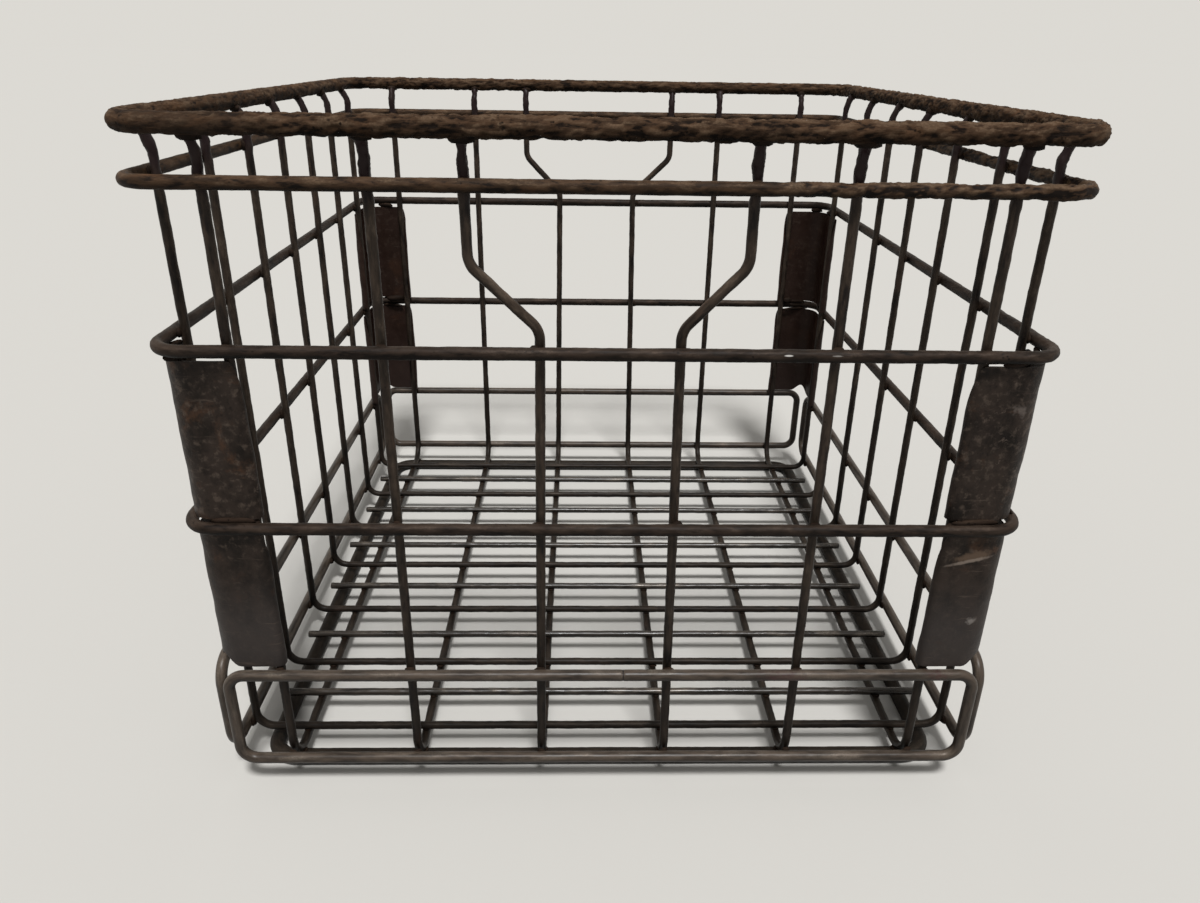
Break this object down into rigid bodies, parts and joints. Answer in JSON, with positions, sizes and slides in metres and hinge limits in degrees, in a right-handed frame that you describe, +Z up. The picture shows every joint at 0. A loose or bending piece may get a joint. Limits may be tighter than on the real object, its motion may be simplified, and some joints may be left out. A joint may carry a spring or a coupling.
{
  "type": "wire milk crate",
  "caption": "Square open-top steel wire crate with a heavy rim, wire bands, hand holes, rolled corner plates, skirt loops and a nesting ring under a grid floor.",
  "frame": {"origin": "on the ground, under the middle of the crate's outline", "axes": "+Z up; -Y is the front wall, which has a hand hole; +X to the right of it"},
  "size_m": [0.3338, 0.345, 0.2789],
  "materials": {
    "rim_steel": "deeply rusted and pitted, dark brown, rough",
    "band_steel": "dark brown oxide with worn, softly shining ridges",
    "wall_wire_steel": "dark oxide, half dull, with rust freckles",
    "floor_rod_steel": "dark grey worn steel, half dull",
    "plate_steel": "thin dark oxide with faint rust bloom and scuffs"
  },
  "bodies": {
    "root": {"top_rim": "rim_steel", "upper_band": "band_steel", "middle_band": "band_steel", "lower_band": "band_steel", "nesting_ring": "rim_steel", "front_skirt_loop": "band_steel", "rear_skirt_loop": "band_steel", "left_skirt_loop": "band_steel", "right_skirt_loop": "band_steel", "long_wire_1": "wall_wire_steel", "long_wire_2": "wall_wire_steel", "long_wire_3": "wall_wire_steel", "long_wire_4": "wall_wire_steel", "long_wire_5": "wall_wire_steel", "long_wire_6": "wall_wire_steel", "cross_wire_1": "wall_wire_steel", "cross_wire_2": "wall_wire_steel", "cross_wire_3": "wall_wire_steel", "cross_wire_4": "wall_wire_steel", "cross_wire_5": "wall_wire_steel", "cross_wire_6": "wall_wire_steel", "cross_wire_7": "wall_wire_steel", "floor_rod_1": "floor_rod_steel", "floor_rod_2": "floor_rod_steel", "floor_rod_3": "floor_rod_steel", "floor_rod_4": "floor_rod_steel", "floor_rod_5": "floor_rod_steel", "floor_rod_6": "floor_rod_steel", "corner_plate_front_left_lower": "plate_steel", "corner_plate_front_left_upper": "plate_steel", "corner_plate_front_right_lower": "plate_steel", "corner_plate_front_right_upper": "plate_steel", "corner_plate_rear_left_lower": "plate_steel", "corner_plate_rear_left_upper": "plate_steel", "corner_plate_rear_right_lower": "plate_steel", "corner_plate_rear_right_upper": "plate_steel"}
  },
  "joints": []
}
